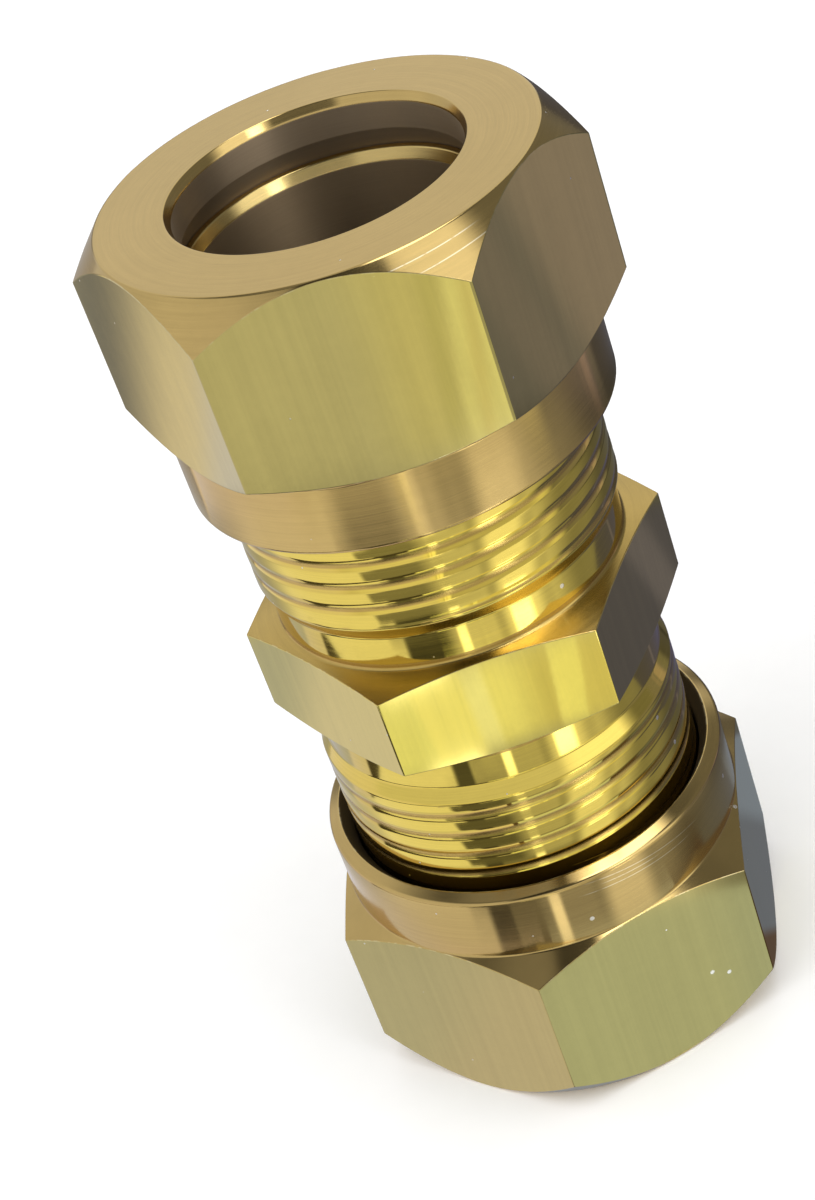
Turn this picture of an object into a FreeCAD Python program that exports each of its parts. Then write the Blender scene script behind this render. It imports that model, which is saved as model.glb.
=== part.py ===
import FreeCAD, Part
import os
import re
import Sketcher

# Straight union for two 16 mm copper pipes: a turned brass body with a hexagon in the middle and a
# male thread on each side. A union nut on each thread presses a loose brass olive round its pipe.
# Millimetres, +Z up along the pipes, origin at the middle of the body's hexagon. The lower side is
# the upper side turned by half a turn about X, so both threads are right-handed.

DRIVING_SIZES = {
    # pipe, and the radial play round it in each piece that it passes
    "pipe_dia": 16.0,
    "pipe_wall": 1.0,
    "socket_play": 0.05,
    "olive_play": 0.10,
    "nut_bore_play": 0.14,
    # coupling body
    "body_across_flats": 22.0,
    "body_edge_height": 5.22,
    "body_chamfer_angle": 17.0,
    "body_length": 30.8,
    "body_mouth_chamfer": 0.5,
    "neck_step": 0.55,
    "neck_length": 2.25,
    "neck_fillet": 0.7,
    "shoulder_length": 0.9,
    "pipe_stop_length": 6.0,
    "body_seat_dia": 19.5,
    # half angle of the cones that squeeze the olive
    "seat_angle": 30.0,
    # thread: wide crests parted by a narrow groove
    "thread_dia": 21.8,
    "thread_pitch": 1.5,
    "groove_depth": 0.4,
    "groove_width": 0.6,
    "groove_root_width": 0.3,
    "groove_lead": 0.15,
    "thread_play": 0.1,
    # union nut, from its outer face to the end of its collar
    "nut_across_flats": 25.0,
    "nut_length": 16.16,
    "nut_face_dia": 24.82,
    "nut_face_chamfer_angle": 50.0,
    "nut_hex_length": 11.89,
    "nut_back_chamfer_angle": 31.2,
    "nut_collar_dia": 24.9,
    "nut_collar_bevel": 0.15,
    "nut_end_wall": 2.17,
    "nut_mouth_width": 0.27,
    "nut_mouth_depth": 0.5,
    "nut_opening_dia": 23.36,
    "nut_countersink_depth": 0.7,
    # how the nuts stand: reach over the body's end, and turn of a corner from +X
    "nut_overlap": 2.56,
    "upper_nut_turn": -7.12,
    "lower_nut_turn": -16.7,
    # olive
    "olive_length": 6.0,
    "olive_end_dia": 17.7,
    "olive_middle_dia": 19.6,
    "olive_middle_length": 1.0,
    "olive_lead": 0.12,
    "olive_seat_play": 0.08,
    # how far a cutting or joining profile runs past the metal that it meets
    "overrun": 0.5,
    "ridge_sink": 0.1,
}

# radii and heights that follow from the driving sizes
BODY_CORNER = "(body_across_flats / 2 / cos(30))"
BODY_HALF = "(body_length / 2)"
NECK_R = "(body_across_flats / 2 - neck_step)"
NECK_BASE = f"(body_edge_height / 2 + ({BODY_CORNER} - {NECK_R}) * tan(body_chamfer_angle))"
SHOULDER = f"({NECK_BASE} + neck_length)"
FIRST_GROOVE = f"({SHOULDER} - groove_lead)"
GROOVE_ROOT_R = "(thread_dia / 2 - groove_depth)"
GROOVE_FLARE = "((groove_width - groove_root_width) / 2 / groove_depth)"
SOCKET_R = "(pipe_dia / 2 + socket_play)"
OLIVE_R = "(pipe_dia / 2 + olive_play)"
NUT_BORE_R = "(pipe_dia / 2 + nut_bore_play)"
NUT_CORNER = "(nut_across_flats / 2 / cos(30))"
NUT_THREAD_R = "(thread_dia / 2 + thread_play)"
NUT_REACH = f"({BODY_HALF} - nut_overlap + nut_length)"
NUT_SEAT_LENGTH = f"(({NUT_THREAD_R} - {NUT_BORE_R}) / tan(seat_angle))"
OLIVE_DROP = f"(nut_end_wall + (olive_end_dia / 2 - {NUT_BORE_R}) / tan(seat_angle) + olive_seat_play)"

doc = FreeCAD.newDocument("double_union_connector")
sheet = doc.addObject("Spreadsheet::Sheet", "Sizes")
for row, (alias, value) in enumerate(DRIVING_SIZES.items(), start=1):
    sheet.set(f"A{row}", alias)
    sheet.set(f"B{row}", str(value))
    sheet.setAlias(f"B{row}", alias)
doc.recompute()


def formula(text):
    """Point each driving size in a formula at its cell of the sheet."""
    return re.sub(
        r"[a-z][a-z_]+",
        lambda word: f"Sizes.{word[0]}" if word[0] in DRIVING_SIZES else word[0],
        str(text),
    )


def worth(text):
    """Return the number that a formula gives with the present sizes."""
    return float(sheet.evalExpression(formula(text)))


def new_body(label):
    body = doc.addObject("PartDesign::Body", label)
    body.Label = label
    return body


def origin_part(body, role):
    return next(item for item in body.Origin.OriginFeatures if item.Role == role)


def new_sketch(body, name, role):
    sketch = body.newObject("Sketcher::SketchObject", name)
    sketch.AttachmentSupport = [(origin_part(body, role), "")]
    sketch.MapMode = "FlatFace"
    return sketch


def bind(sketch, constraint, text):
    """Add a constraint whose size is a formula of the sheet."""
    index = sketch.addConstraint(constraint)
    sketch.setExpression(f"Constraints[{index}]", formula(text))


def add_outline(sketch, corners):
    """Add a closed outline of straight lines, each corner held by two formulas."""
    places = [FreeCAD.Vector(worth(x), worth(y), 0) for x, y in corners]
    first = sketch.GeometryCount
    count = len(corners)
    for index, place in enumerate(places):
        sketch.addGeometry(Part.LineSegment(place, places[(index + 1) % count]))
    for index, (x, y) in enumerate(corners):
        line = first + index
        following = first + (index + 1) % count
        sketch.addConstraint(Sketcher.Constraint("Coincident", line, 2, following, 1))
        bind(sketch, Sketcher.Constraint("DistanceX", -1, 1, line, 1, places[index].x), x)
        bind(sketch, Sketcher.Constraint("DistanceY", -1, 1, line, 1, places[index].y), y)


def section_sketch(body, name, *outlines):
    """Sketch outlines of (radius, height) in the plane that holds the axis."""
    sketch = new_sketch(body, name, "XZ_Plane")
    for corners in outlines:
        add_outline(sketch, corners)
    return sketch


def both_sides(corners):
    """Carry an upper half outline on through its mirror image below."""
    return corners + [(radius, f"-({height})") for radius, height in reversed(corners)]


def below(corners):
    """Return the mirror image of an outline below the middle plane."""
    return [(radius, f"-({height})") for radius, height in reversed(corners)]


def turn_section(body, kind, name, *outlines):
    """Revolve outlines about the axis, as a Revolution or a Groove."""
    sketch = section_sketch(body, f"{name}_section", *outlines)
    feature = body.newObject(f"PartDesign::{kind}", name)
    feature.Profile = sketch
    feature.ReferenceAxis = (sketch, ["V_Axis"])
    feature.Angle = 360
    doc.recompute()
    return feature


def hexagon_pad(body, name, across_flats, depth, midplane):
    """Pad a hexagon with a corner on +X, about the middle plane or down from it."""
    corner_radius = f"{across_flats} / 2 / cos(30)"
    corners = [(f"{corner_radius} * cos({60 * k})", f"{corner_radius} * sin({60 * k})") for k in range(6)]
    sketch = new_sketch(body, f"{name}_outline", "XY_Plane")
    add_outline(sketch, corners)
    pad = body.newObject("PartDesign::Pad", name)
    pad.Profile = sketch
    pad.setExpression("Length", formula(depth))
    pad.Midplane = midplane
    pad.Reversed = not midplane
    doc.recompute()
    return pad


def thread_helix(body, kind, name, outline, height):
    """Carry a thread section along a right-handed helix that climbs by one pitch a turn."""
    sketch = section_sketch(body, f"{name}_section", outline)
    helix = body.newObject(f"PartDesign::{kind}", name)
    helix.Profile = sketch
    helix.ReferenceAxis = (sketch, ["V_Axis"])
    helix.Mode = "pitch-height-angle"
    helix.setExpression("Pitch", formula("thread_pitch"))
    helix.setExpression("Height", formula(height))
    helix.LeftHanded = False
    doc.recompute()
    return helix


def fillet_rings(body, base, name, radius, ring_radius, heights):
    """Fillet the circular edges of one radius at the given heights."""
    wanted = [worth(height) for height in heights]
    edges = [
        f"Edge{number}"
        for number, edge in enumerate(base.Shape.Edges, start=1)
        if isinstance(edge.Curve, Part.Circle)
        and abs(edge.Curve.Radius - worth(ring_radius)) < 1e-4
        and min(abs(edge.Curve.Center.z - height) for height in wanted) < 1e-4
    ]
    fillet = body.newObject("PartDesign::Fillet", name)
    fillet.Base = (base, edges)
    fillet.setExpression("Radius", formula(radius))
    doc.recompute()
    return fillet


def make_coupling_body():
    """Turn the body: hexagon, two necks, two threaded ends, pipe sockets, pipe stop and olive seats."""
    body = new_body("coupling_body")
    hexagon_pad(body, "hexagon", "body_across_flats", f"2 * {NECK_BASE}", True)
    rim = f"({BODY_CORNER} + overrun)"
    hex_chamfer = [
        (NECK_R, NECK_BASE),
        (rim, "body_edge_height / 2 - overrun * tan(body_chamfer_angle)"),
        (rim, f"{NECK_BASE} + overrun"),
        (NECK_R, f"{NECK_BASE} + overrun"),
    ]
    turn_section(body, "Groove", "hexagon_chamfers", hex_chamfer, below(hex_chamfer))
    outside = [
        ("0", BODY_HALF),
        ("thread_dia / 2 - body_mouth_chamfer", BODY_HALF),
        ("thread_dia / 2", f"{BODY_HALF} - body_mouth_chamfer"),
        ("thread_dia / 2", f"{SHOULDER} + shoulder_length"),
        (NECK_R, SHOULDER),
    ]
    spigots = turn_section(body, "Revolution", "necks_and_spigots", both_sides(outside))
    neck_bases = [NECK_BASE, f"-{NECK_BASE}"]
    fillet_rings(body, spigots, "neck_fillets", "neck_fillet", NECK_R, neck_bases)
    inside = [
        ("0", f"{BODY_HALF} + overrun"),
        ("body_seat_dia / 2", f"{BODY_HALF} + overrun"),
        ("body_seat_dia / 2", BODY_HALF),
        (SOCKET_R, f"{BODY_HALF} - (body_seat_dia / 2 - {SOCKET_R}) / tan(seat_angle)"),
        (SOCKET_R, "pipe_stop_length / 2"),
        ("pipe_dia / 2 - pipe_wall", "pipe_stop_length / 2"),
    ]
    turn_section(body, "Groove", "pipe_sockets", both_sides(inside))
    outer = "(thread_dia / 2 + overrun)"
    outer_half = f"(groove_width / 2 + overrun * {GROOVE_FLARE})"
    groove = [
        (GROOVE_ROOT_R, f"{FIRST_GROOVE} - groove_root_width / 2"),
        (outer, f"{FIRST_GROOVE} - {outer_half}"),
        (outer, f"{FIRST_GROOVE} + {outer_half}"),
        (GROOVE_ROOT_R, f"{FIRST_GROOVE} + groove_root_width / 2"),
    ]
    climb = f"{BODY_HALF} - {FIRST_GROOVE} + groove_width"
    thread = thread_helix(body, "SubtractiveHelix", "upper_thread", groove, climb)
    other_thread = body.newObject("PartDesign::PolarPattern", "lower_thread")
    other_thread.Originals = [thread]
    other_thread.Axis = (origin_part(body, "X_Axis"), [""])
    other_thread.Angle = 360
    other_thread.Occurrences = 2
    body.Tip = other_thread
    doc.recompute()
    return body


def make_nut(label, turn):
    """Make a union nut in its own frame: outer face at height 0, collar below, a corner on +X."""
    body = new_body(label)
    hexagon_pad(body, "hexagon", "nut_across_flats", "nut_hex_length", False)
    rim = f"({NUT_CORNER} + overrun)"
    face_chamfer = [
        ("nut_face_dia / 2", "0"),
        (rim, f"-({rim} - nut_face_dia / 2) * tan(nut_face_chamfer_angle)"),
        (rim, "overrun"),
        ("nut_face_dia / 2", "overrun"),
    ]
    back_chamfer = [
        ("nut_collar_dia / 2", "-nut_hex_length"),
        ("nut_collar_dia / 2", "-nut_hex_length - overrun"),
        (rim, "-nut_hex_length - overrun"),
        (rim, f"-nut_hex_length + ({rim} - nut_collar_dia / 2) * tan(nut_back_chamfer_angle)"),
    ]
    turn_section(body, "Groove", "hexagon_chamfers", face_chamfer, back_chamfer)
    collar = [
        ("0", "-nut_hex_length + overrun"),
        ("nut_collar_dia / 2", "-nut_hex_length + overrun"),
        ("nut_collar_dia / 2", "-nut_length + nut_collar_bevel"),
        ("nut_collar_dia / 2 - nut_collar_bevel", "-nut_length"),
        ("0", "-nut_length"),
    ]
    turn_section(body, "Revolution", "collar", collar)
    inside = [
        ("0", "overrun"),
        (f"{NUT_BORE_R} + nut_mouth_width", "overrun"),
        (f"{NUT_BORE_R} + nut_mouth_width", "0"),
        (NUT_BORE_R, "-nut_mouth_depth"),
        (NUT_BORE_R, "-nut_end_wall"),
        (NUT_THREAD_R, f"-nut_end_wall - {NUT_SEAT_LENGTH}"),
        (NUT_THREAD_R, "-nut_length + nut_countersink_depth"),
        ("nut_opening_dia / 2", "-nut_length"),
        ("nut_opening_dia / 2", "-nut_length - overrun"),
        ("0", "-nut_length - overrun"),
    ]
    turn_section(body, "Groove", "bore_and_seat", inside)
    # the ridge starts at the first height above the countersink where the body's groove passes +X
    groove_pass = f"({FIRST_GROOVE} + thread_pitch * {turn} / 360 - {NUT_REACH})"
    lowest = "(nut_countersink_depth + groove_width / 2 - nut_length)"
    start = f"({groove_pass} + thread_pitch * ceil(({lowest} - {groove_pass}) / thread_pitch))"
    tip = f"({GROOVE_ROOT_R} + thread_play)"
    tip_half = f"(groove_root_width / 2 + thread_play * {GROOVE_FLARE} - thread_play)"
    foot = f"({NUT_THREAD_R} + ridge_sink)"
    foot_half = f"({tip_half} + ({foot} - {tip}) * {GROOVE_FLARE})"
    ridge = [
        (tip, f"{start} - {tip_half}"),
        (tip, f"{start} + {tip_half}"),
        (foot, f"{start} + {foot_half}"),
        (foot, f"{start} - {foot_half}"),
    ]
    climb = f"-nut_end_wall - {NUT_SEAT_LENGTH} - groove_width - {start}"
    thread_helix(body, "AdditiveHelix", "thread", ridge, climb)
    return body


def make_olive(label):
    """Turn an olive about its own middle: a plain bore and a cone towards each end."""
    body = new_body(label)
    half = [
        (f"{OLIVE_R} + olive_lead", "olive_length / 2"),
        ("olive_end_dia / 2", "olive_length / 2"),
        ("olive_middle_dia / 2", "olive_middle_length / 2"),
    ]
    lead = [(OLIVE_R, "-olive_length / 2 + olive_lead"), (OLIVE_R, "olive_length / 2 - olive_lead")]
    turn_section(body, "Revolution", "double_cone", both_sides(half) + lead)
    return body


def place_above(body, height, turn):
    """Set a piece on the upper side, turned about the axis."""
    body.setExpression("Placement.Base.z", formula(height))
    body.setExpression("Placement.Rotation.Angle", formula(turn))


def place_below(body, height, turn):
    """Set a piece on the lower side, turned about the axis and then over about X.

    The two turns together are half a turn about the line that lies minus half the turn from +X.
    """
    body.setExpression("Placement.Base.z", formula(f"-{height}"))
    body.setExpression("Placement.Rotation.Axis.x", formula(f"cos({turn} / 2)"))
    body.setExpression("Placement.Rotation.Axis.y", formula(f"-sin({turn} / 2)"))
    body.setExpression("Placement.Rotation.Axis.z", "0")
    body.setExpression("Placement.Rotation.Angle", "180")


OLIVE_HEIGHT = f"({NUT_REACH} - {OLIVE_DROP} - olive_length / 2)"

coupling_body = make_coupling_body()
upper_nut = make_nut("upper_nut", "upper_nut_turn")
lower_nut = make_nut("lower_nut", "lower_nut_turn")
upper_olive = make_olive("upper_olive")
lower_olive = make_olive("lower_olive")
place_above(upper_nut, NUT_REACH, "upper_nut_turn")
place_above(upper_olive, OLIVE_HEIGHT, "0")
place_below(lower_nut, NUT_REACH, "lower_nut_turn")
place_below(lower_olive, OLIVE_HEIGHT, "0")
doc.recompute()

for item in doc.Objects:
    if "Invalid" in item.State or "Error" in item.State:
        raise RuntimeError(f"{item.Label} failed: {item.State}")

pieces = [coupling_body, upper_nut, lower_nut, upper_olive, lower_olive]
for piece in pieces:
    if piece.Shape.isNull() or not piece.Shape.isValid() or len(piece.Shape.Solids) != 1:
        raise RuntimeError(f"{piece.Label} is not one valid solid")

os.makedirs("parts", exist_ok=True)
for piece in pieces:
    piece.Shape.exportStep(f"parts/{piece.Label}.step")
    print(piece.Label, "volume", round(piece.Shape.Volume, 1), "mm3")
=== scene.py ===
"""Looks of a straight brass union for two pipes: a threaded body, two union nuts and two olives.

Every piece is a surface of revolution whose section may change with the angle round the axis, which
is how a hexagon, its turned chamfers and a screw thread are one mesh. Sizes are in millimetres in
the section functions and become metres when the mesh is made.
"""

import bmesh
import bpy
import numpy as np
from mathutils import Matrix, Vector


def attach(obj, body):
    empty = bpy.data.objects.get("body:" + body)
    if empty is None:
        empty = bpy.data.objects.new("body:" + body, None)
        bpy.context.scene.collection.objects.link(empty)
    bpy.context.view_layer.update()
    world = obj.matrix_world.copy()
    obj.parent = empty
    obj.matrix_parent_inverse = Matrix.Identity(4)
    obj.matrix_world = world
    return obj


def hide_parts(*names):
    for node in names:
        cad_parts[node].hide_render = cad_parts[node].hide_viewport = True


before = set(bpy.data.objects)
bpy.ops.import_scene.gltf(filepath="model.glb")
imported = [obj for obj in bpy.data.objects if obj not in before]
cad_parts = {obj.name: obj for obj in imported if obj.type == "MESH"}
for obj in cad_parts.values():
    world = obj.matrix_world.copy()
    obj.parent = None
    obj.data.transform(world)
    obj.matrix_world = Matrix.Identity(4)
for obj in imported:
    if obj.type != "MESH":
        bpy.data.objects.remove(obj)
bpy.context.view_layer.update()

MM = 0.001

# pipe and the play round it
PIPE_R = 8.0
PIPE_WALL = 1.0
SOCKET_R = PIPE_R + 0.05
OLIVE_R = PIPE_R + 0.10
NUT_BORE_R = PIPE_R + 0.14
SEAT_SLOPE = np.tan(np.radians(30))

# coupling body
BODY_FLATS = 22.0
BODY_EDGE = 5.22 / 2
BODY_CHAMFER = np.tan(np.radians(17))
NECK_R = 20.9 / 2
NECK_BASE = BODY_EDGE + (BODY_FLATS / 2 / np.cos(np.pi / 6) - NECK_R) * BODY_CHAMFER
DULL_BAND = 0.4
SHOULDER = NECK_BASE + 2.25
THREAD_START = SHOULDER + 0.9
BODY_HALF = 15.4
MOUTH_CHAMFER = 0.5
SEAT_R = 19.5 / 2
SOCKET_END = BODY_HALF - (SEAT_R - SOCKET_R) / SEAT_SLOPE
PIPE_STOP = 3.0

# thread
THREAD_R = 21.8 / 2
PITCH = 1.5
FIRST_GROOVE = SHOULDER - 0.15
THREAD_PLAY = 0.1
THREAD_FADE = 0.35
LINE_HALF = 0.40
LINE_DEPTH = 0.048
CREST_BULGE = 0.020
RIDGE_HEIGHT = 0.05

# union nut, in its own frame with its outer face at height 0
NUT_FLATS = 25.0
NUT_LENGTH = 16.16
NUT_FACE_R = 24.82 / 2
NUT_FACE_SLOPE = np.tan(np.radians(50))
NUT_HEX = 11.89
NUT_BACK_SLOPE = np.tan(np.radians(31.2))
COLLAR_R = 24.9 / 2
OPENING_R = 23.36 / 2
COUNTERSINK = 0.7
RIM_RISE = 0.30
RIM_FALL = 0.08
END_WALL = 2.17
MOUTH_WIDTH = 0.27
MOUTH_DEPTH = 0.5
NUT_THREAD_R = THREAD_R + THREAD_PLAY
NUT_SEAT = (NUT_THREAD_R - NUT_BORE_R) / SEAT_SLOPE
NUT_REACH = BODY_HALF - 2.56 + NUT_LENGTH
UPPER_TURN = np.radians(-7.12)
LOWER_TURN = np.radians(-16.7)

# olive
OLIVE_LENGTH = 6.0
OLIVE_END_R = 17.7 / 2
OLIVE_MIDDLE_R = 19.6 / 2
OLIVE_MIDDLE = 1.0
OLIVE_MOUTH_WIDTH = 0.35
OLIVE_MOUTH_DEPTH = 0.7
OLIVE_DROP = END_WALL + (OLIVE_END_R - NUT_BORE_R) / SEAT_SLOPE + 0.08

# worn roundings of the edges
FINE_EDGE = 0.05
EDGE = 0.10
SOFT_EDGE = 0.18
CORNER_ROUND = 0.06
EDGE_SHARE = 0.4

# a last row beside each rounding, and how wear is spread over the rows of one rounding
SUPPORT = 0.03
SUPPORT_SHARE = 0.2
WEAR_SPREAD = (0.0, 0.35, 0.8, 1.0, 0.8, 0.35, 0.0)

# columns of the mesh, in degrees: even steps, and close ones beside a hexagon's corner
EVEN_STEP = 2.5
BESIDE_CORNER = np.array([-1.6, -1.1, -0.8, -0.5, -0.25, 0, 0.25, 0.5, 0.8, 1.1, 1.6])
CLOSEST_STEP = 0.6
HEX_CORNERS = np.arange(6) * np.pi / 3


def angles_round(corners=()):
    """The angles round the axis at which a section is set: even steps, and close ones by a corner."""
    even = np.arange(0, 360, EVEN_STEP)
    near = (np.degrees(np.reshape(corners, (-1, 1))) + BESIDE_CORNER).ravel() % 360
    if len(near):
        gap = np.abs((even[:, None] - near + 180) % 360 - 180).min(axis=1)
        even = even[gap > CLOSEST_STEP]
    return np.radians(np.unique(np.round(np.concatenate([even, near]), 6)))


def hexagon_radius(angle, across_flats, rounding):
    """Distance from the axis to a hexagon's side: half its width over the cosine of the angle from
    the flat's middle, and at a corner the far side of the small circle that touches both flats."""
    from_corner = (angle + np.pi / 6) % (np.pi / 3) - np.pi / 6
    flat = across_flats / 2 / np.cos(np.abs(from_corner) - np.pi / 6)
    centre = (across_flats / 2 - rounding) / np.cos(np.pi / 6)
    limit = np.arctan2(rounding / 2, centre + rounding * np.cos(np.pi / 6))
    chord = np.sqrt(np.maximum(rounding**2 - (centre * np.sin(from_corner)) ** 2, 0))
    return np.where(np.abs(from_corner) < limit, centre * np.cos(from_corner) + chord, flat)


class Section:
    """The closed outline of a piece in the half plane at each angle, as rows of points.

    A key point has a radius and a height, each a number or an array over the angles, the width over
    which its edge is rounded, and the kind of surface that follows it. A thread is a block of rows
    that climb by one pitch a turn.
    """

    def __init__(self, angles):
        self.angles = angles
        self.keys = []
        self.threads = {}

    def key(self, radius, height, edge=EDGE, kind="turned", worn=0.0):
        ones = np.ones_like(self.angles)
        self.keys.append((radius * ones, height * ones, edge, kind, worn))

    def thread(self, **sizes):
        """Put a thread between the last key point and the next one."""
        self.threads[len(self.keys) - 1] = sizes

    def rows(self):
        """Round each key point p by the curve (1-t)^2 a + 2t(1-t) p + t^2 b between the points a and
        b on its two sides, and give for each row its points, its wear, its kind and its next row."""
        points = np.array([key[:2] for key in self.keys])
        before = np.roll(points, 1, axis=0) - points
        after = np.roll(points, -1, axis=0) - points
        blocks, wear, kinds, following = [], [], [], []
        for index, (_, _, edge, kind, worn) in enumerate(self.keys):
            point = points[index]
            ways = [way / np.hypot(*way) for way in (before[index], after[index])]
            shortest = np.minimum(np.hypot(*before[index]), np.hypot(*after[index]))
            reach = np.minimum(edge, EDGE_SHARE * shortest)
            support = np.minimum(SUPPORT, SUPPORT_SHARE * reach)
            start, end = point + ways[0] * reach, point + ways[1] * reach
            curve = [
                (1 - t) ** 2 * start + 2 * t * (1 - t) * point + t**2 * end
                for t in np.linspace(0, 1, len(WEAR_SPREAD) - 2)
            ]
            outer = [point + way * (reach + support) for way in ways]
            block = np.array([outer[0], *curve, outer[1]])
            first = sum(map(len, blocks))
            blocks.append(block)
            wear += [worn * share for share in WEAR_SPREAD]
            half = len(block) // 2
            kinds += [self.keys[index - 1][3]] * half + [kind] * (len(block) - half)
            following += range(first, first + len(block))
            if index in self.threads:
                block, turn, in_groove = thread_rows(
                    self.angles, outer[1], points[(index + 1) % len(points)], **self.threads[index]
                )
                first += len(WEAR_SPREAD)
                blocks.append(block)
                wear += [0.0] * len(block)
                # the middle of each groove in the body's thread is dull: rougher, with painted shade
                kinds += list(np.where(in_groove & (kind == "thread"), "dull", kind))
                last = first + len(block) - 1
                following += [min(first + row + turn, last) for row in range(len(block))]
        return np.concatenate(blocks), np.array(wear), np.array(kinds), np.array(following)


def thread_rows(angles, start, end, centre, depth, bulge):
    """Rows that follow a screw line: each keeps its distance from the middle of a groove, which
    climbs by pitch times angle over a full turn. The radius falls from the crest's middle by the
    bulge times the square of the way to the groove, and by the depth in a smooth step into the
    groove. Both fade to nothing at the ends of the thread. With the rows come their number in a
    turn, and for each whether it lies in the middle half of a groove."""
    low, high = start[1], end[1] - SUPPORT - EDGE
    crest_side = np.linspace(PITCH / 2, LINE_HALF, 6)[1:]
    groove_side = np.linspace(LINE_HALF, 0, 5)[1:-1]
    flank = np.concatenate([crest_side, groove_side])
    offsets = np.concatenate([[-PITCH / 2], -flank, [0.0], flank[::-1]])
    turns = np.arange(np.floor((low.min() - centre) / PITCH) - 1, (high.max() - centre) / PITCH + 1.5)
    line = (turns[:, None] * PITCH + offsets).reshape(-1, 1)
    height = np.clip(centre + line + PITCH * angles / (2 * np.pi), low, high)
    aside = np.abs(np.tile(offsets, len(turns)))[:, None]
    step = np.clip(1 - aside / LINE_HALF, 0, 1)
    crest = (1 - aside / (PITCH / 2)) ** 2
    fade = np.clip(np.minimum(height - low, high - height) / THREAD_FADE, 0, 1)
    radius = start[0] - (depth * step * step * (3 - 2 * step) + bulge * crest) * fade
    return np.stack([radius, height], axis=1), len(offsets), aside[:, 0] < LINE_HALF / 2


def turned_piece(name, section, place):
    """Make the mesh of a section carried round the axis, closed both ways, and set it in place:
    across by radius times cosine and sine of the angle, up by the height."""
    points, wear, kinds, following = section.rows()
    radius, height = points[:, 0], points[:, 1]
    rows, columns = radius.shape
    across, deep = radius * np.cos(section.angles), radius * np.sin(section.angles)
    number = np.arange(rows * columns).reshape(rows, columns)
    beyond = np.concatenate([number[:, 1:], number[following, :1]], axis=1)
    quads = np.stack([number, beyond, np.roll(beyond, -1, axis=0), np.roll(number, -1, axis=0)], axis=-1)
    mesh = bpy.data.meshes.new(name)
    places = np.stack([across, deep, height], axis=-1).reshape(-1, 3) * MM
    mesh.from_pydata(places, [], quads.reshape(-1, 4))
    marks = [("wear", wear)] + [(kind, kinds == kind) for kind in ("flat", "inside", "grime_and_shade", "dull")]
    for label, values in marks:
        layer = mesh.attributes.new(label, "FLOAT", "POINT")
        layer.data.foreach_set("value", np.repeat(values.astype(np.float32), columns))
    shape = bmesh.new()
    shape.from_mesh(mesh)
    bmesh.ops.remove_doubles(shape, verts=shape.verts, dist=1e-7)
    bmesh.ops.dissolve_degenerate(shape, edges=shape.edges, dist=1e-8)
    bmesh.ops.transform(shape, matrix=place, verts=shape.verts)
    bmesh.ops.recalc_face_normals(shape, faces=shape.faces)
    shape.to_mesh(mesh)
    shape.free()
    mesh.shade_smooth()
    piece = bpy.data.objects.new(name, mesh)
    bpy.context.collection.objects.link(piece)
    return piece


def coupling_body_section():
    """Outside from the lower mouth to the upper one, then back down through the pipe sockets."""
    section = Section(angles_round(HEX_CORNERS))
    side = hexagon_radius(section.angles, BODY_FLATS, CORNER_ROUND)
    edge = BODY_EDGE + (BODY_FLATS / 2 / np.cos(np.pi / 6) - side) * BODY_CHAMFER
    groove = {"depth": LINE_DEPTH, "bulge": CREST_BULGE}
    section.key(SEAT_R, -BODY_HALF)
    section.key(THREAD_R - MOUTH_CHAMFER, -BODY_HALF)
    section.key(THREAD_R, -BODY_HALF + MOUTH_CHAMFER, kind="thread")
    section.thread(centre=-FIRST_GROOVE, **groove)
    section.key(THREAD_R, -THREAD_START)
    section.key(NECK_R, -SHOULDER)
    # the dull bands beside the hexagon and its chamfers are rougher and take painted shade
    section.key(NECK_R, -NECK_BASE - DULL_BAND, FINE_EDGE, "dull")
    section.key(NECK_R, -NECK_BASE, SOFT_EDGE, "dull")
    section.key(side, -edge, FINE_EDGE, "flat", worn=0.5)
    section.key(side, edge, FINE_EDGE, "dull", worn=0.5)
    section.key(NECK_R, NECK_BASE, SOFT_EDGE, "dull")
    section.key(NECK_R, NECK_BASE + DULL_BAND, FINE_EDGE)
    section.key(NECK_R, SHOULDER)
    section.key(THREAD_R, THREAD_START, kind="thread")
    section.thread(centre=FIRST_GROOVE, **groove)
    section.key(THREAD_R, BODY_HALF - MOUTH_CHAMFER)
    section.key(THREAD_R - MOUTH_CHAMFER, BODY_HALF)
    section.key(SEAT_R, BODY_HALF, kind="inside")
    section.key(SOCKET_R, SOCKET_END, kind="inside")
    section.key(SOCKET_R, PIPE_STOP, kind="inside")
    section.key(PIPE_R - PIPE_WALL, PIPE_STOP, kind="inside")
    section.key(PIPE_R - PIPE_WALL, -PIPE_STOP, kind="inside")
    section.key(SOCKET_R, -PIPE_STOP, kind="inside")
    section.key(SOCKET_R, -SOCKET_END, kind="inside")
    return section


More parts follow.
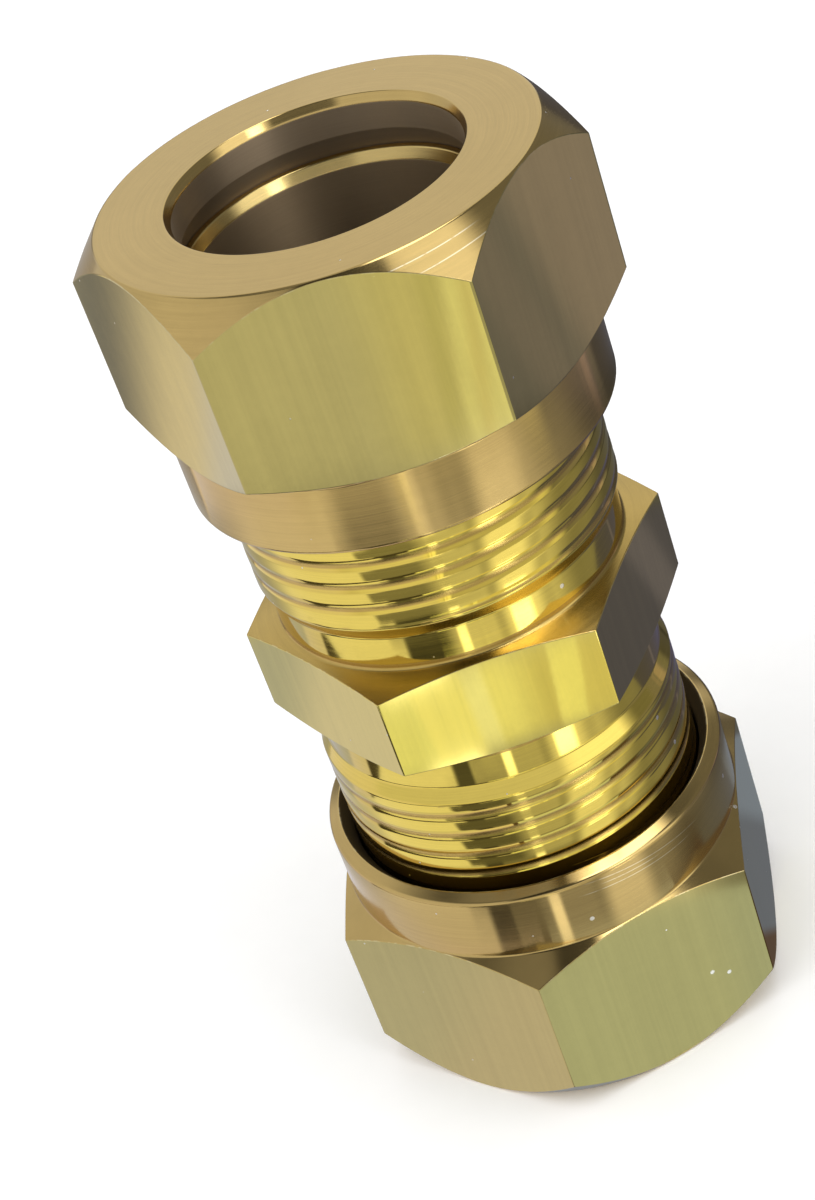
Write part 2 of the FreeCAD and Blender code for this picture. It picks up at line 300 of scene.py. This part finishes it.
def nut_section(turn):
    """Inside from the collar's sloping rim up to the outer face, then down over hexagon and
    collar. The turn is the nut's own, so that its thread lies on the body's screw line."""
    section = Section(angles_round(HEX_CORNERS))
    side = hexagon_radius(section.angles, NUT_FLATS, CORNER_ROUND)
    face_edge = -(side - NUT_FACE_R) * NUT_FACE_SLOPE
    back_edge = -NUT_HEX + (side - COLLAR_R) * NUT_BACK_SLOPE
    # the countersink and the thread inside take grease and painted shade
    section.key(OPENING_R, -NUT_LENGTH - RIM_RISE, EDGE, "grime_and_shade", worn=0.3)
    section.key(NUT_THREAD_R, -NUT_LENGTH + COUNTERSINK, kind="grime_and_shade")
    section.thread(
        centre=FIRST_GROOVE + PITCH * turn / (2 * np.pi) - NUT_REACH,
        depth=RIDGE_HEIGHT,
        bulge=0.0,
    )
    section.key(NUT_THREAD_R, -END_WALL - NUT_SEAT, kind="inside")
    section.key(NUT_BORE_R, -END_WALL, FINE_EDGE, "inside")
    section.key(NUT_BORE_R, -MOUTH_DEPTH)
    section.key(NUT_BORE_R + MOUTH_WIDTH, 0.0, FINE_EDGE)
    section.key(NUT_FACE_R, 0.0)
    section.key(side, face_edge, FINE_EDGE, "flat", worn=0.3)
    section.key(side, back_edge, FINE_EDGE, worn=0.6)
    section.key(COLLAR_R, -NUT_HEX)
    section.key(COLLAR_R, -NUT_LENGTH + RIM_FALL, SOFT_EDGE)
    return section


def olive_section():
    """A bore with widened mouths and a cone towards each end, about the olive's own middle."""
    section = Section(angles_round())
    half = OLIVE_LENGTH / 2
    section.key(OLIVE_R, -half + OLIVE_MOUTH_DEPTH)
    section.key(OLIVE_R + OLIVE_MOUTH_WIDTH, -half)
    section.key(OLIVE_END_R, -half)
    section.key(OLIVE_MIDDLE_R, -OLIVE_MIDDLE / 2, SOFT_EDGE)
    section.key(OLIVE_MIDDLE_R, OLIVE_MIDDLE / 2, SOFT_EDGE)
    section.key(OLIVE_END_R, half)
    section.key(OLIVE_R + OLIVE_MOUTH_WIDTH, half)
    section.key(OLIVE_R, half - OLIVE_MOUTH_DEPTH, kind="inside")
    return section


def above(height, turn=0.0):
    """The place of a piece of the upper side: its height, and its turn round the axis."""
    return Matrix.Translation((0, 0, height * MM)) @ Matrix.Rotation(turn, 4, "Z")


def under(height, turn=0.0):
    """The upper place turned by half a turn about X, as the whole lower side is."""
    return Matrix.Rotation(np.pi, 4, "X") @ above(height, turn)


class Number:
    """A number that changes over a surface. It wraps the socket that gives it, and arithmetic on it
    adds Math nodes."""

    def __init__(self, finish, socket):
        self.finish, self.socket = finish, socket

    def math(self, operation, *others):
        sockets = dict(enumerate((self, *others)))
        return self.finish.number("ShaderNodeMath", {"operation": operation}, sockets)

    def __add__(self, other):
        return self.math("ADD", other)

    def __sub__(self, other):
        return self.math("SUBTRACT", other)

    def __rsub__(self, other):
        return self * -1 + other

    def __mul__(self, other):
        return self.math("MULTIPLY", other)

    def __truediv__(self, other):
        return self.math("DIVIDE", other)

    __radd__, __rmul__ = __add__, __mul__

    def rise(self, low, high):
        """Nought below low, one above high and a smooth step between them; it falls if low is more."""
        if low > high:
            return 1 - self.rise(high, low)
        settings = {"interpolation_type": "SMOOTHSTEP"}
        sockets = {"Value": self, "From Min": low, "From Max": high}
        return self.finish.number("ShaderNodeMapRange", settings, sockets)


class Finish:
    """Fills a material or the world: adds nodes, sets or links their sockets, gives what comes out."""

    def __init__(self, owner):
        self.owner = owner
        owner.use_nodes = True
        self.tree = owner.node_tree
        self.tree.nodes.clear()

    def node(self, kind, settings=None, sockets=None):
        node = self.tree.nodes.new(kind)
        for name, value in (settings or {}).items():
            setattr(node, name, value)
        for name, value in (sockets or {}).items():
            value = getattr(value, "socket", value)
            if isinstance(value, bpy.types.NodeSocket):
                self.tree.links.new(value, node.inputs[name])
            else:
                node.inputs[name].default_value = value
        return node

    def number(self, kind, settings=None, sockets=None, out=0):
        return Number(self, self.node(kind, settings, sockets).outputs[out])

    def attribute(self, name):
        return self.number("ShaderNodeAttribute", {"attribute_name": name}, out="Fac")

    def vector(self, operation, *parts, out=0):
        sockets = dict(enumerate(parts))
        return self.node("ShaderNodeVectorMath", {"operation": operation}, sockets).outputs[out]

    def position(self):
        """The place on the piece in millimetres, as a vector."""
        place = self.node("ShaderNodeTexCoord").outputs["Object"]
        return self.vector("MULTIPLY", place, (1000, 1000, 1000))

    def split(self, vector):
        parts = self.node("ShaderNodeSeparateXYZ", None, {0: vector}).outputs
        return [Number(self, part) for part in parts]

    def join(self, x, y, z):
        return self.node("ShaderNodeCombineXYZ", None, {0: x, 1: y, 2: z}).outputs[0]

    def cover(self, angle, start, end, soft_start, soft_end):
        """One from the start to the end of a card, and nought beyond its two soft edges."""
        begun = angle.rise(start - soft_start / 2, start + soft_start / 2)
        return begun * angle.rise(end + soft_end / 2, end - soft_end / 2)

    def under_cards(self, ground, angle, cards):
        """A number that starts at the ground's level and is covered by one card after another. A card
        has its start, its end, the softness of its two edges and its level."""
        for *card, level in cards:
            ground = ground + self.cover(angle, *card) * (level - ground)
        return ground

    def under_papers(self, ground, angle, papers):
        """The same with coloured papers, for a colour."""
        for *paper, tint in papers:
            colour = (*(part / CARD_TOP for part in tint), 1)
            ground = self.blend(self.cover(angle, *paper), ground, colour)
        return ground

    def noise(self, vector, scale, detail=2.0, roughness=0.5):
        sockets = {"Vector": vector, "Scale": scale, "Detail": detail, "Roughness": roughness}
        return self.number("ShaderNodeTexNoise", None, sockets, "Fac")

    def blend(self, share, one, two, how="MIX"):
        """A colour part of the way from one to two."""
        settings = {"data_type": "RGBA", "blend_type": how}
        return self.node("ShaderNodeMix", settings, {0: share, 6: one, 7: two}).outputs[2]

    def finish_with(self, shader):
        kind = "World" if isinstance(self.owner, bpy.types.World) else "Material"
        self.node(f"ShaderNodeOutput{kind}", None, {"Surface": shader.outputs[0]})
        return self.owner


# specks of dust in millimetres, and fine scratches that run round the nuts: height at the front,
# its fall for each degree, and the angles from the front between which the scratch runs
NUT_DUST = (
    (11.2, -5.4, -14.6),
    (11.4, -5.4, -17.2),
    (1.0, -12.4, -15.8),
    (6.8, -11.0, -24.2),
    (7.8, -10.7, -24.9),
)
BODY_DUST = ((5.4, -8.95, 4.75), (8.4, -6.95, -7.6), (9.0, -6.1, -10.4))
NUT_SCRATCHES = (
    (-13.85, 0.018, 2, 42),
    (-13.45, 0.021, 8, 30),
    (-13.05, 0.025, 4, 46),
    (28.3, -0.004, 4, 34),
    (27.7, -0.006, 12, 38),
)
SCRATCH_SOFTNESS = 6

# colours that lie on the brass, painted shade among them
# painted shade: a brown that darkens the body's thread grooves, the neck beside the hexagon and the
# hexagon's chamfers
PAINTED_SHADE_BROWN = (0.56, 0.36, 0.14, 1)
# grease and painted shade: near black in the nuts' countersink and inner thread
GREASE_AND_SHADE = (0.05, 0.035, 0.02, 1)
WORN_BRASS = (0.95, 0.87, 0.58, 1)
DUST = (0.92, 0.90, 0.84, 1)
SCRATCHED_BRASS = (0.95, 0.85, 0.60, 1)

# the tool's rings follow the way along the section: the height and this share of the radius
RADIUS_SHARE = 0.618
RELIEF_METRES = 0.00001


def brass(name, turned, flat, inside, roughness, flat_roughness, ring_depth, dust=(), scratches=()):
    """Turned brass: rings left by the tool round the axis, faint drawn streaks along the flats,
    brighter worn edges, darker, rougher and less metallic brass inside, painted shade in the
    body's thread grooves, beside the hexagon and on its chamfers, grease with painted shade in
    the nuts' countersink and thread, a few specks of dust and fine scratches."""
    finish = Finish(bpy.data.materials.new(name))
    place = finish.position()
    x, y, z = finish.split(place)
    level = finish.join(x, y, 0.0)
    radius = Number(finish, finish.vector("LENGTH", level, out="Value"))
    around = finish.split(finish.vector("NORMALIZE", level))
    wear, on_flat, inner, grime_and_shade, dull = map(finish.attribute, ("wear", "flat", "inside", "grime_and_shade", "dull"))

    section_way = z + radius * RADIUS_SHARE
    brushed = finish.noise(finish.join(around[0] * 1.2, around[1] * 1.2, section_way * 11), 1.0, 4, 0.75)
    rings = finish.noise(finish.join(around[0] * 0.2, around[1] * 0.2, section_way * 14), 1.0, 2, 0.6)
    broad_rings = finish.noise(finish.join(around[0] * 0.5, around[1] * 0.5, section_way * 2.2), 1.0, 2)
    streaks = finish.noise(finish.join(x * 1.5, y * 1.5, z * 0.02), 1.0, 3, 0.7)
    cloud = finish.noise(place, 0.16, 3, 0.55)
    mottle = finish.noise(place, 1.3, 4, 0.7)
    off_flat = 1 - on_flat

    colour = finish.blend(on_flat, turned, flat)
    # darker, rougher and less metallic brass in the bores, sockets and seats
    colour = finish.blend(inner, colour, inside)
    # painted shade on the dull surfaces of the body
    colour = finish.blend(dull * 0.6, colour, PAINTED_SHADE_BROWN)
    # grease with painted shade in the nuts' countersink and thread
    colour = finish.blend(grime_and_shade, colour, GREASE_AND_SHADE)
    # random tone from cloud and mottle, less painted shade on the dull surfaces
    shade = 0.90 + 0.10 * cloud - 0.08 * mottle - 0.16 * dull
    turned_shade = 0.34 * brushed - 0.08 + 0.05 * broad_rings
    flat_shade = 0.24 * streaks - 0.05
    shade = shade + off_flat * turned_shade + on_flat * flat_shade
    colour = finish.blend(1.0, colour, finish.join(shade, shade, shade), "MULTIPLY")
    colour = finish.blend(wear * mottle.rise(0.48, 0.60) * 0.6, colour, WORN_BRASS)

    cells = finish.node("ShaderNodeTexVoronoi", None, {"Vector": place, "Scale": 0.8})
    pick = finish.split(cells.outputs["Color"])[0]
    speck = Number(finish, cells.outputs["Distance"]).rise(0.06, 0.035) * pick.rise(0.84, 0.86)
    for spot in dust:
        apart = Number(finish, finish.vector("DISTANCE", place, spot, out="Value"))
        speck = speck.math("MAXIMUM", apart.rise(0.17, 0.11))
    colour = finish.blend(speck * 0.9, colour, DUST)
    bearing = x.math("ARCTAN2", -1 * y) * (180 / np.pi)
    for height, fall, start, end in scratches:
        off_line = (z + bearing * fall - height).math("ABSOLUTE")
        along = bearing.rise(start, start + SCRATCH_SOFTNESS) * bearing.rise(end, end - SCRATCH_SOFTNESS)
        line = off_line.rise(0.035, 0.010) * along * streaks.rise(0.30, 0.50) * off_flat
        colour = finish.blend(line * 0.8, colour, SCRATCHED_BRASS)

    rough = off_flat * (roughness + 0.12 * (brushed - 0.5)) + on_flat * flat_roughness
    rough = rough + 0.04 * (mottle - 0.5) + 0.36 * inner + 0.14 * dull + 0.35 * speck + 0.3 * grime_and_shade
    height = off_flat * rings * ring_depth + 0.05 * mottle * on_flat + speck * 0.5
    relief = {"Strength": 1.0, "Distance": RELIEF_METRES, "Height": height}
    bump = finish.node("ShaderNodeBump", None, relief)
    shader = finish.node(
        "ShaderNodeBsdfPrincipled",
        None,
        {
            "Base Color": colour,
            "Metallic": 1 - 0.12 * inner - 0.3 * grime_and_shade,
            "Roughness": rough,
            "Anisotropic": 0.9,
            "Anisotropic Rotation": 0.25,
            "Normal": bump.outputs[0],
        },
    )
    return finish.finish_with(shader)


def floor_material():
    """Pale matt paper."""
    finish = Finish(bpy.data.materials.new("studio_paper"))
    grain = finish.noise(finish.position(), 0.4, 3)
    colour = finish.blend(grain, (0.93, 0.93, 0.93, 1), (0.96, 0.96, 0.96, 1))
    shader = finish.node("ShaderNodeBsdfPrincipled", None, {"Base Color": colour, "Roughness": 0.9})
    return finish.finish_with(shader)


# the brightness that a card's colour of 1 stands for
CARD_TOP = 2.0

# the floor's zones by their reach beyond a wall's foot, in millimetres: each pair is a soft border
LOW_FLATS_END = (13.4, 14.0)
LOW_COLLAR_END = (19.2, 19.8)
LOWER_NECK_START = (27.6, 28.4)
BODY_FLATS_START = (33.0, 33.6)
UPPER_SIDE_START = (43.3, 43.9)
UPPER_NECK_END = (48.2, 48.8)
HIGH_COLLAR_START = (65.5, 66.3)
HIGH_FLATS_START = (76.8, 77.8)
MEAN_WALL_R = 12.0


def reflector_material():
    """Light and dark card laid on the floor round the object, for its walls to mirror.

    A wall at angle a mirrors the floor in direction 2a, so a spot in direction b at distance d from
    the axis belongs to the wall at about a = b d / (2 d - r), with r the wall's own distance. The
    spot's reach beyond the wall's foot grows with the height of what mirrors it: the lower nut's
    flats and collar, the lower thread and neck, the body's flats, then the upper side's. Curved
    walls have cards by their own angle, flats have papers by the spot's direction, and the lower
    nut's turned face mirrors what lies under the nut's own outline.
    """
    finish = Finish(bpy.data.materials.new("studio_reflector"))
    x, y, _ = finish.split(finish.position())
    away = Number(finish, finish.vector("LENGTH", finish.join(x, y, 0.0), out="Value"))
    bearing = x.math("ARCTAN2", -1 * y)
    direction = bearing * (180 / np.pi)
    wall = direction * away / (away * 2 - NUT_FLATS / 2)
    reach = away - MEAN_WALL_R * (bearing * 0.5).math("COSINE")
    aside = direction.math("ABSOLUTE").rise(80, 100)

    upper = reach.rise(*UPPER_SIDE_START)
    high_collar = reach.rise(*HIGH_COLLAR_START)
    low_collar = 1 - reach.rise(*LOW_COLLAR_END)
    neck = reach.rise(*LOWER_NECK_START) * (1 - reach.rise(*UPPER_NECK_END))
    upper_neck = neck * upper
    lower_neck = neck - upper_neck
    thread = 1 - high_collar - low_collar - neck
    # how bright the dark, the half-light and the bright cards are in each zone
    dark = 0.07 + 0.13 * upper + 0.07 * thread - 0.14 * upper_neck + 0.03 * lower_neck
    beside_dark = dark + lower_neck * (0.52 - dark) + 0.16 * low_collar
    medium = 0.55 + 0.15 * upper + 0.12 * upper_neck - 0.18 * low_collar
    hot = 1.0 + 0.2 * upper
    # left side, left front and the dark gap before the front
    level = finish.under_cards(
        0.13,
        wall + 4.5 * thread,
        [
            (-120, -57, 1, 16, 0.62 - 0.17 * upper),
            (-59, -22.4, 16, 2.5, 1.0 - 0.2 * low_collar),
            (-22.4, -7, 2.5, 7, dark),
        ],
    )
    # the gap's edge, the front, the bright right front and its fall to the right, then the hottest
    # strip, the thin strip in the gap and the far right
    level = finish.under_cards(
        level,
        wall,
        [
            (-16.5, -6, 1.5, 5, beside_dark),
            (-7, 9, 7, 5, medium),
            (10.5, 26, 6, 9, hot),
            (26, 38, 9, 20, 0.70 - 0.35 * low_collar),
            (38, 56, 16, 16, 0.28 - 0.15 * low_collar),
            (13.4, 20.6, 2, 3, hot + 2.6 * neck),
            (-5.0, -2.0, 1.4, 1.4, 1.7 + 0.8 * neck - 1.05 * thread),
            (66, 120, 12, 1, 0.12 + 0.80 * upper_neck),
        ],
    )
    # the same for the upper nut's brushed collar, softer
    brushed_level = finish.under_cards(
        0.06,
        wall,
        [
            (-120, -57, 1, 16, 0.50),
            (-59, -22, 16, 8, 0.94),
            (-22, -9, 8, 8, 0.30),
            (-9, 4, 7, 7, 0.84),
            (4, 12, 6, 6, 0.45),
            (12.5, 30, 6, 16, 1.25),
            (30, 46, 14, 18, 0.40),
            (-5.2, -1.6, 2.2, 2.6, 1.55),
        ],
    )
    level = level + high_collar * (brushed_level - level)
    level = level / CARD_TOP
    colour = finish.join(level, level, level)

    # papers for the upper nut's flats: far left, left, front and right
    high_paper = finish.under_papers(
        (0.11, 0.11, 0.125, 1),
        direction,
        [
            (-180, -136.6, 1, 1.5, (0.45, 0.43, 0.41)),
            (-134.2, -60, 3.2, 20, (1.00, 0.87, 0.66)),
            (-131.0, -60, 1.2, 20, (0.90, 0.87, 0.98)),
            (-60, 60, 20, 20, (0.89, 0.87, 0.78)),
            (-13.0, 60, 4, 20, (1.04, 0.99, 0.70)),
            (-10.5, -9.6, 0.3, 0.3, (0.90, 0.87, 0.55)),
            (-9.4, 60, 0.3, 20, (1.33, 1.32, 0.90)),
            (-8.6, -8.0, 0.3, 0.3, (1.10, 1.00, 0.62)),
            (-6.0, 60, 1.5, 20, (0.62, 0.60, 0.50)),
            (75, 112, 20, 6, (0.25, 0.24, 0.33)),
            (100.3, 102.6, 0.8, 0.8, (0.31, 0.28, 0.38)),
            (103.8, 110, 1.6, 4, (0.43, 0.37, 0.48)),
            (118, 180, 6, 1, (0.10, 0.10, 0.12)),
        ],
    )
    # papers for the body's flats
    body_paper = finish.under_papers(
        (0.57, 0.57, 0.38, 1),
        direction,
        [
            (-180, -60, 1, 20, (0.53, 0.55, 0.67)),
            (-114.5, -60, 5, 20, (0.77, 0.74, 0.85)),
            (-98, -20, 3, 3, (0.08, 0.07, 0.06)),
            (-20, -7, 3, 0.5, (1.04, 1.08, 0.74)),
            (-2.8, -1.0, 0.8, 0.8, (1.18, 1.22, 1.10)),
            (2.2, 4.5, 4.4, 0.3, (0.80, 0.75, 0.45)),
            (4.8, 7.0, 0.3, 0.3, (1.17, 1.17, 0.74)),
            (7.0, 60, 0.3, 20, (0.88, 0.82, 0.50)),
            (60, 180, 20, 1, (0.10, 0.10, 0.20)),
            (113.0, 115.8, 1.2, 1.2, (0.16, 0.155, 0.30)),
        ],
    )
    # papers for the lower nut's flats, with a dark line beside each corner
    low_paper = finish.under_papers(
        (0.40, 0.395, 0.44, 1),
        direction,
        [
            (-60, -13.3, 30, 0.5, (0.90, 0.83, 0.92)),
            (-15.2, -12.2, 0.6, 0.6, (0.12, 0.08, 0.06)),
            (-12.2, 62, 0.6, 10, (0.78, 0.86, 0.91)),
            (38, 62, 14, 10, (0.72, 0.82, 0.93)),
            (47, 180, 1, 1, (0.12, 0.08, 0.06)),
            (70, 180, 6, 1, (0.165, 0.18, 0.22)),
            (112, 180, 6, 1, (0.23, 0.265, 0.33)),
        ],
    )
    beside = 4.5 * direction.math("ABSOLUTE").rise(45, 90)
    under_low_flats = 1 - (reach - beside).rise(*LOW_FLATS_END)
    under_body_flats = (reach + 6 * aside).rise(*BODY_FLATS_START)
    under_body_flats = under_body_flats * (1 - (reach - 8 * aside).rise(*UPPER_SIDE_START))
    under_high_flats = (reach + 4 * aside).rise(*HIGH_FLATS_START)
    colour = finish.blend(under_low_flats, colour, low_paper)
    # painted shadow: a dark card under the lower nut's own outline, where the floor lies in the nut's
    # shade, for the nut's turned face to mirror
    flat_ways = np.pi / 6 - LOWER_TURN + np.arange(3) * np.pi / 3
    sides = [(x * np.cos(way) + y * np.sin(way)).math("ABSOLUTE") for way in flat_ways]
    from_middle = sides[0].math("MAXIMUM", sides[1]).math("MAXIMUM", sides[2])
    painted_nut_shadow = from_middle.rise(NUT_FLATS / 2 + 0.03, NUT_FLATS / 2 - 0.05)
    colour = finish.blend(painted_nut_shadow, colour, (0.16, 0.175, 0.20, 1))
    colour = finish.blend(under_body_flats, colour, body_paper)
    colour = finish.blend(under_high_flats, colour, high_paper)
    glow = finish.node("ShaderNodeEmission", None, {"Color": colour, "Strength": CARD_TOP})
    return finish.finish_with(glow)


def studio_air():
    """The room above the floor, by direction: pale behind and on the left, bright at the front
    right where a lamp stands, dark low on the right and high in front. Two small lamps hang at the
    front right and overhead. The lens and the matt floor see plain white."""
    finish = Finish(bpy.data.worlds.new("studio_air"))
    direction = finish.node("ShaderNodeTexCoord").outputs["Generated"]
    x, y, z = finish.split(direction)
    bearing = x.math("ARCTAN2", -1 * y) * (180 / np.pi)
    level = finish.under_cards(
        0.85,
        bearing,
        [
            # behind and behind on the left, left, the lamp's wall, behind on the right, right, front
            (-180, -150, 1, 12, 0.85 - 0.55 * z.rise(0.34, 0.18)),
            (-150, -105, 14, 30, 0.73),
            (-95, -20, 20, 40, 0.79),
            (24, 70, 20, 16, 1.5),
            (118, 156, 10, 8, 0.15 + 0.85 * z.rise(0.18, 0.34)),
            (70, 146, 18, 14, 0.22),
            (-34, 22, 10, 8, 0.79 - 0.66 * z.rise(0.45, 0.52)),
        ],
    )
    left = x.rise(0.1, -0.2)
    overhead = z.rise(0.66, 0.90) * (0.35 + 0.5 * left) - 0.25 * z.rise(0.86, 0.94)
    ceiling_lamp = z.rise(0.85, 0.92) * x.rise(0.04, 0.16)
    small_lamp = bearing.rise(24, 30) * bearing.rise(42, 36) * z.rise(0.42, 0.45) * z.rise(0.56, 0.52)
    level = (level * (1 - overhead) + 3.4 * ceiling_lamp + 5.0 * small_lamp) / CARD_TOP
    room = finish.join(level, level, level)
    ray = finish.node("ShaderNodeLightPath").outputs
    to_camera, to_floor = Number(finish, ray["Is Camera Ray"]), Number(finish, ray["Is Diffuse Ray"])
    plain = to_camera.math("MAXIMUM", to_floor)
    level = 1 / CARD_TOP - 0.04 * to_floor
    white = finish.join(level, level, level)
    colour = finish.blend(plain, room, white)
    glow = finish.node("ShaderNodeBackground", None, {"Color": colour, "Strength": CARD_TOP})
    return finish.finish_with(glow)


def flat_ring(name, inner, outer, height, steps=96):
    """A level ring: points at the inner and the outer radius at each angle."""
    angle = np.linspace(0, 2 * np.pi, steps, endpoint=False)
    circle = np.stack([np.cos(angle), np.sin(angle)], axis=-1)
    across = np.concatenate([circle * inner, circle * outer])
    places = np.concatenate([across, np.full((len(across), 1), height)], axis=1)
    number = np.arange(steps)
    following = np.roll(number, -1)
    quads = np.stack([number, number + steps, following + steps, following], axis=1)
    mesh = bpy.data.meshes.new(name)
    mesh.from_pydata(places, [], quads)
    ring = bpy.data.objects.new(name, mesh)
    bpy.context.collection.objects.link(ring)
    return ring


def soft_lamp(name, place, size, power):
    """A square white lamp that looks at the object, and that its metal doesn't mirror."""
    lamp = bpy.data.lights.new(name, "AREA")
    lamp.size = size
    lamp.energy = power
    holder = bpy.data.objects.new(name, lamp)
    holder.location = place
    holder.rotation_euler = (-Vector(place)).to_track_quat("-Z", "Y").to_euler()
    holder.visible_glossy = False
    bpy.context.collection.objects.link(holder)


# pieces
body_brass = brass(
    "polished_body_brass",
    turned=(0.74, 0.57, 0.12, 1),
    flat=(0.74, 0.62, 0.18, 1),
    inside=(0.33, 0.25, 0.18, 1),
    roughness=0.06,
    flat_roughness=0.06,
    ring_depth=0.03,
    dust=BODY_DUST,
)
nut_brass = brass(
    "satin_nut_brass",
    turned=(0.57, 0.41, 0.155, 1),
    flat=(0.50, 0.43, 0.165, 1),
    inside=(0.34, 0.26, 0.17, 1),
    roughness=0.12,
    flat_roughness=0.08,
    ring_depth=0.12,
    dust=NUT_DUST,
    scratches=NUT_SCRATCHES,
)
olive_brass = brass(
    "turned_olive_brass",
    turned=(0.66, 0.50, 0.20, 1),
    flat=(0.66, 0.50, 0.20, 1),
    inside=(0.30, 0.22, 0.13, 1),
    roughness=0.20,
    flat_roughness=0.20,
    ring_depth=0.2,
)

OLIVE_HEIGHT = NUT_REACH - OLIVE_DROP - OLIVE_LENGTH / 2
body = turned_piece("union_body", coupling_body_section(), above(0.0))
body.data.materials.append(body_brass)
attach(body, "coupling_body")
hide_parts("coupling_body")
for side, put, turn in (("upper", above, UPPER_TURN), ("lower", under, LOWER_TURN)):
    nut = turned_piece(f"{side}_union_nut", nut_section(turn), put(NUT_REACH, turn))
    nut.data.materials.append(nut_brass)
    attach(nut, f"{side}_nut")
    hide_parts(f"{side}_nut")
    olive = turned_piece(f"{side}_brass_olive", olive_section(), put(OLIVE_HEIGHT))
    olive.data.materials.append(olive_brass)
    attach(olive, f"{side}_olive")
    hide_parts(f"{side}_olive")

# studio: the floor under the lower nut's face, and the cards just above it, in metres
FLOOR = -NUT_REACH * MM
FLOOR_R = 3.0
CARDS_START = 0.0123
CARDS_END = 2.9
CARDS_LIFT = 0.0002
floor = flat_ring("studio_floor", 0.0, FLOOR_R, FLOOR)
floor.data.materials.append(floor_material())
reflector = flat_ring("studio_reflector", CARDS_START, CARDS_END, FLOOR + CARDS_LIFT)
reflector.data.materials.append(reflector_material())
for ray in ("camera", "diffuse", "shadow", "transmission", "volume_scatter"):
    setattr(reflector, f"visible_{ray}", False)
soft_lamp("left_softbox", (-0.35, -0.25, 0.55), 0.5, 1.6)
soft_lamp("right_softbox", (0.40, -0.30, 0.45), 0.4, 0.8)

bpy.context.scene.world = studio_air()
bpy.context.scene.view_settings.view_transform = "Standard"

# camera, where the photograph was taken from: azimuth and height of its view, and its roll
CAMERA_PLACE = Vector((0.001162, -0.128104, 0.086711))
VIEW_AZIMUTH = np.radians(91.929)
VIEW_RISE = np.radians(-33.699)
CAMERA_ROLL = np.radians(-20.096)
LENS = 78.81

ahead = Vector(
    (
        np.cos(VIEW_RISE) * np.cos(VIEW_AZIMUTH),
        np.cos(VIEW_RISE) * np.sin(VIEW_AZIMUTH),
        np.sin(VIEW_RISE),
    )
)
level_right = ahead.cross(Vector((0, 0, 1))).normalized()
right = Matrix.Rotation(-CAMERA_ROLL, 3, ahead) @ level_right
up = right.cross(ahead)
camera_data = bpy.data.cameras.new("photo_camera")
camera_data.lens = LENS
camera_data.sensor_width = 36
camera_data.clip_start = 0.01
camera = bpy.data.objects.new("photo_camera", camera_data)
looking = Matrix((right, up, -ahead)).transposed().to_4x4()
camera.matrix_world = Matrix.Translation(CAMERA_PLACE) @ looking
bpy.context.collection.objects.link(camera)
bpy.context.scene.camera = camera
